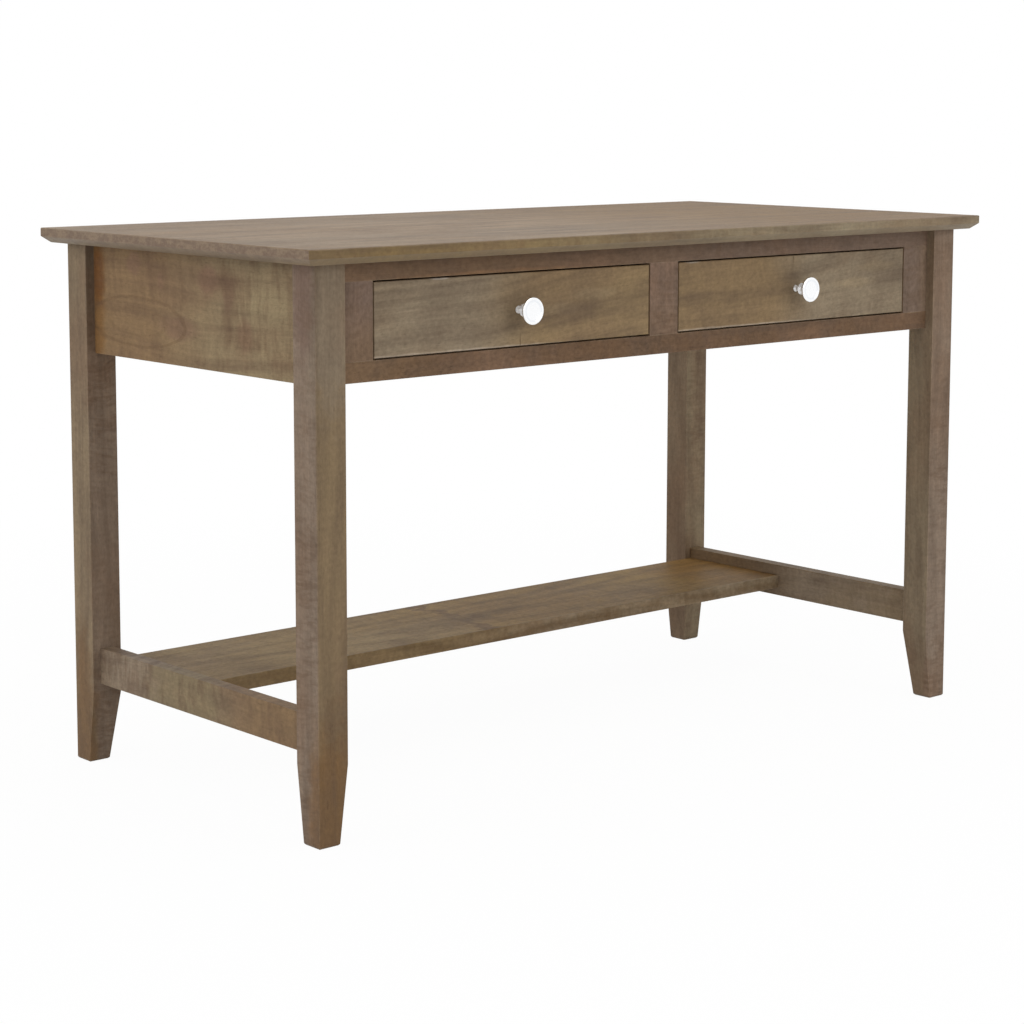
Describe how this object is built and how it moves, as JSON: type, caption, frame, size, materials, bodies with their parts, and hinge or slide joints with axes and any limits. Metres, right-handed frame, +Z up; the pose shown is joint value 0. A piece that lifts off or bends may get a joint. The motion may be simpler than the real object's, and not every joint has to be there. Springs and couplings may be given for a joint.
{
  "type": "writing desk",
  "caption": "Shaker-style wooden writing desk with inset drawers on ball-bearing slides, tapered legs, side stretchers and a foot board.",
  "frame": {"origin": "on the floor, under the middle of the desk top", "axes": "+X along the desk's width to the right as seen from its front, -Y towards the sitter (the drawers' side), +Z up"},
  "size_m": [1.29, 0.629, 0.762],
  "materials": {
    "stained_wood": "grey-brown stained hardwood under a thin satin varnish, grain along each member",
    "maple_wood": "clear-finished pale hardwood of the drawer boxes, slide rails, blocks and buttons",
    "zinc_steel": "bright zinc-plated pressed steel",
    "polished_chrome": "polished chrome plate",
    "ball_steel": "ground and polished steel"
  },
  "bodies": {
    "desk": {"desk_top": "stained_wood", "leg_front_left": "stained_wood", "leg_front_right": "stained_wood", "leg_back_left": "stained_wood", "leg_back_right": "stained_wood", "apron_left": "stained_wood", "apron_right": "stained_wood", "apron_back": "stained_wood", "front_top_rail": "stained_wood", "front_low_rail": "stained_wood", "stile_left": "stained_wood", "stile_centre": "stained_wood", "stile_right": "stained_wood", "stretcher_left": "stained_wood", "stretcher_right": "stained_wood", "foot_board": "stained_wood", "slide_rail_left_outer": "maple_wood", "slide_rail_left_inner": "maple_wood", "slide_rail_right_inner": "maple_wood", "slide_rail_right_outer": "maple_wood", "corner_blocks": "maple_wood", "top_buttons": "maple_wood", "top_screws": "zinc_steel", "board_screws": "zinc_steel", "cabinet_members": "zinc_steel", "cabinet_member_screws": "zinc_steel"},
    "drawer_left": {"left_face": "stained_wood", "left_box_front": "maple_wood", "left_box_back": "maple_wood", "left_side_outer": "maple_wood", "left_side_inner": "maple_wood", "left_bottom": "maple_wood", "left_knob": "polished_chrome", "left_knob_screw": "zinc_steel", "left_face_screws": "zinc_steel", "left_drawer_members": "zinc_steel", "left_member_screws": "zinc_steel"},
    "mid_left": {"left_mid_members": "zinc_steel"},
    "outer_balls_left": {"left_outer_retainers": "zinc_steel", "left_outer_balls": "ball_steel"},
    "inner_balls_left": {"left_inner_retainers": "zinc_steel", "left_inner_balls": "ball_steel"},
    "drawer_right": {"right_face": "stained_wood", "right_box_front": "maple_wood", "right_box_back": "maple_wood", "right_side_outer": "maple_wood", "right_side_inner": "maple_wood", "right_bottom": "maple_wood", "right_knob": "polished_chrome", "right_knob_screw": "zinc_steel", "right_face_screws": "zinc_steel", "right_drawer_members": "zinc_steel", "right_member_screws": "zinc_steel"},
    "mid_right": {"right_mid_members": "zinc_steel"},
    "outer_balls_right": {"right_outer_retainers": "zinc_steel", "right_outer_balls": "ball_steel"},
    "inner_balls_right": {"right_inner_retainers": "zinc_steel", "right_inner_balls": "ball_steel"}
  },
  "joints": [
    {"name": "drawer_left_slide", "type": "slide", "parent": "desk", "child": "drawer_left", "axis": [0, -1, 0], "range_m": [0, 0.43]},
    {"name": "mid_left_slide", "type": "slide", "parent": "desk", "child": "mid_left", "axis": [0, -1, 0], "range_m": [0, 0.215]},
    {"name": "outer_balls_left_slide", "type": "slide", "parent": "desk", "child": "outer_balls_left", "axis": [0, -1, 0], "range_m": [0, 0.1075]},
    {"name": "inner_balls_left_slide", "type": "slide", "parent": "desk", "child": "inner_balls_left", "axis": [0, -1, 0], "range_m": [0, 0.3225]},
    {"name": "drawer_right_slide", "type": "slide", "parent": "desk", "child": "drawer_right", "axis": [0, -1, 0], "range_m": [0, 0.43]},
    {"name": "mid_right_slide", "type": "slide", "parent": "desk", "child": "mid_right", "axis": [0, -1, 0], "range_m": [0, 0.215]},
    {"name": "outer_balls_right_slide", "type": "slide", "parent": "desk", "child": "outer_balls_right", "axis": [0, -1, 0], "range_m": [0, 0.1075]},
    {"name": "inner_balls_right_slide", "type": "slide", "parent": "desk", "child": "inner_balls_right", "axis": [0, -1, 0], "range_m": [0, 0.3225]}
  ],
  "couplings": [
    {"joint": "mid_left_slide", "follows": "drawer_left_slide", "ratio": 0.5},
    {"joint": "outer_balls_left_slide", "follows": "drawer_left_slide", "ratio": 0.25},
    {"joint": "inner_balls_left_slide", "follows": "drawer_left_slide", "ratio": 0.75},
    {"joint": "mid_right_slide", "follows": "drawer_right_slide", "ratio": 0.5},
    {"joint": "outer_balls_right_slide", "follows": "drawer_right_slide", "ratio": 0.25},
    {"joint": "inner_balls_right_slide", "follows": "drawer_right_slide", "ratio": 0.75}
  ]
}
